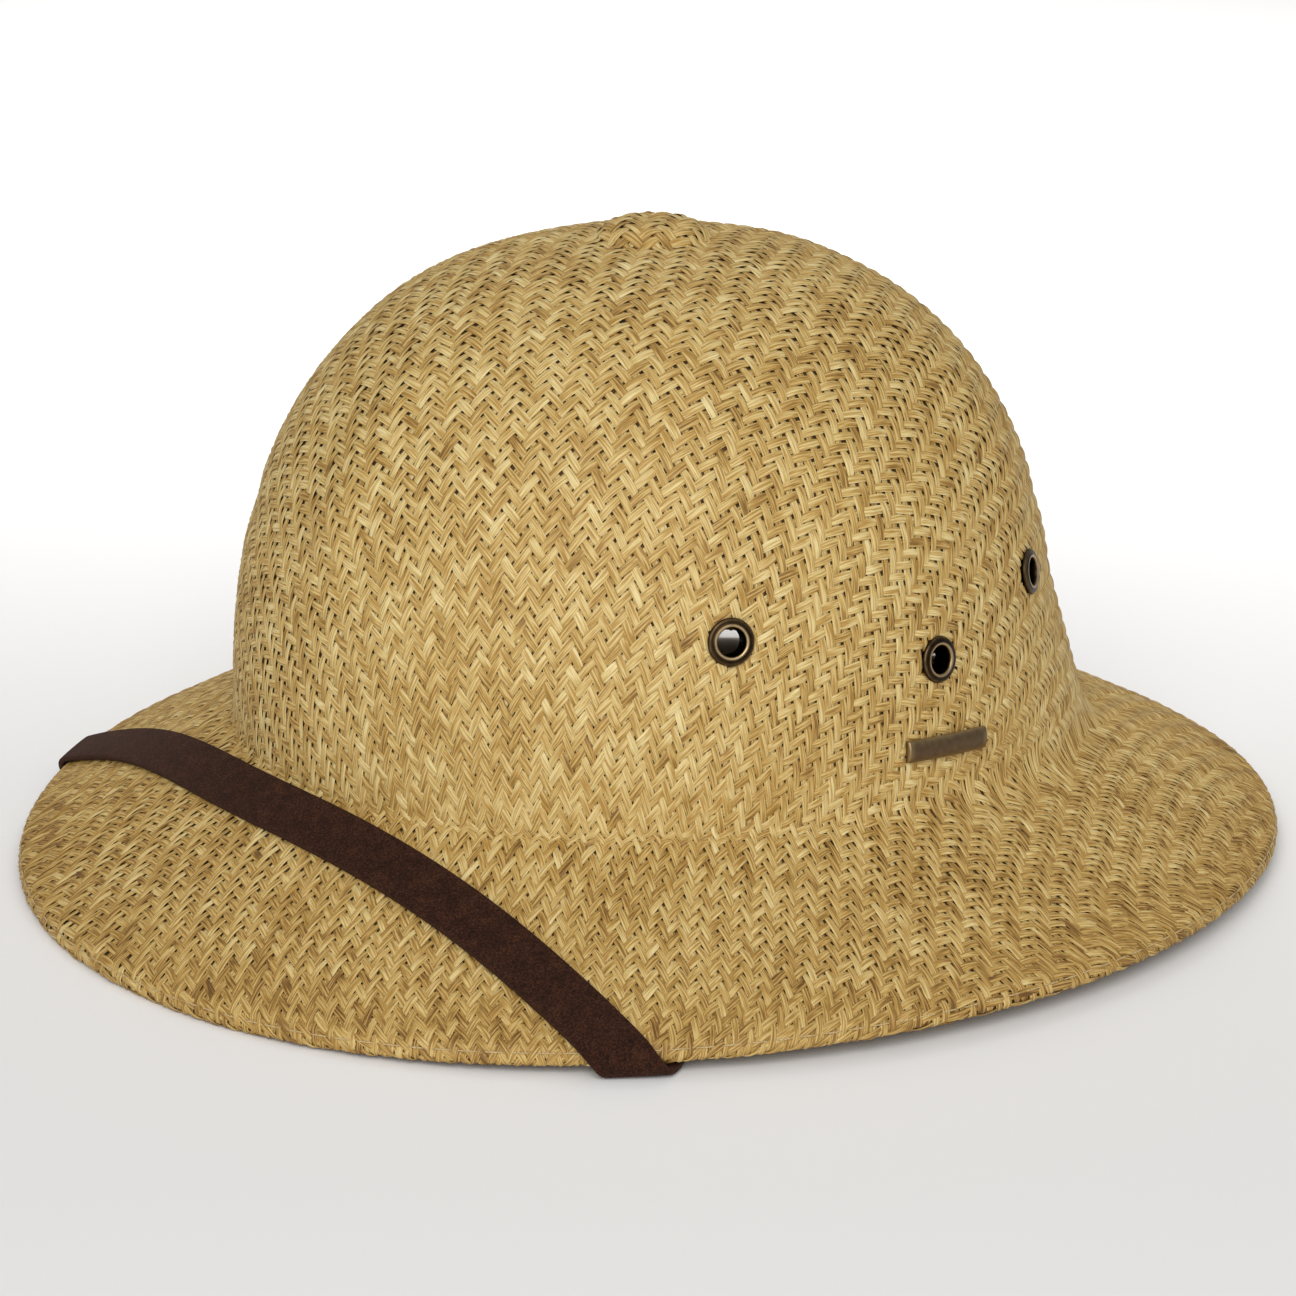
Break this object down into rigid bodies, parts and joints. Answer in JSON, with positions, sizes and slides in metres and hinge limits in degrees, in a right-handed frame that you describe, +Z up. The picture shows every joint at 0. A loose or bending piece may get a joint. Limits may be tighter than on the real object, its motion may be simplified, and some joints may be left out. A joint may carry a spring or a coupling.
{
  "type": "pith helmet",
  "caption": "Stiff sun helmet of woven straw matting with a domed crown, a sloping brim with turned lip, vent eyelets and a suede chin strap worn over the front brim.",
  "frame": {"origin": "On the surface that the helmet stands on, under the middle of its brim", "axes": "+Z up out of the crown, -Y the way the wearer faces, +X the wearer's left"},
  "size_m": [0.3, 0.334, 0.1585],
  "materials": {
    "straw_matting": "woven paper straw, 2 by 2 twill, matt with a slight sheen along each strand",
    "suede": "dark brown suede with a short nap",
    "antique_brass": "antique brass, dark in the hollows and bright on the roll",
    "badge_brass": "antique brass, brushed"
  },
  "bodies": {
    "root": {"helmet_shell": "straw_matting", "chin_strap": "suede", "vent_eyelet_left_front": "antique_brass", "vent_eyelet_left_middle": "antique_brass", "vent_eyelet_left_back": "antique_brass", "vent_eyelet_right_front": "antique_brass", "vent_eyelet_right_middle": "antique_brass", "vent_eyelet_right_back": "antique_brass", "badge_bar": "badge_brass"}
  },
  "joints": []
}
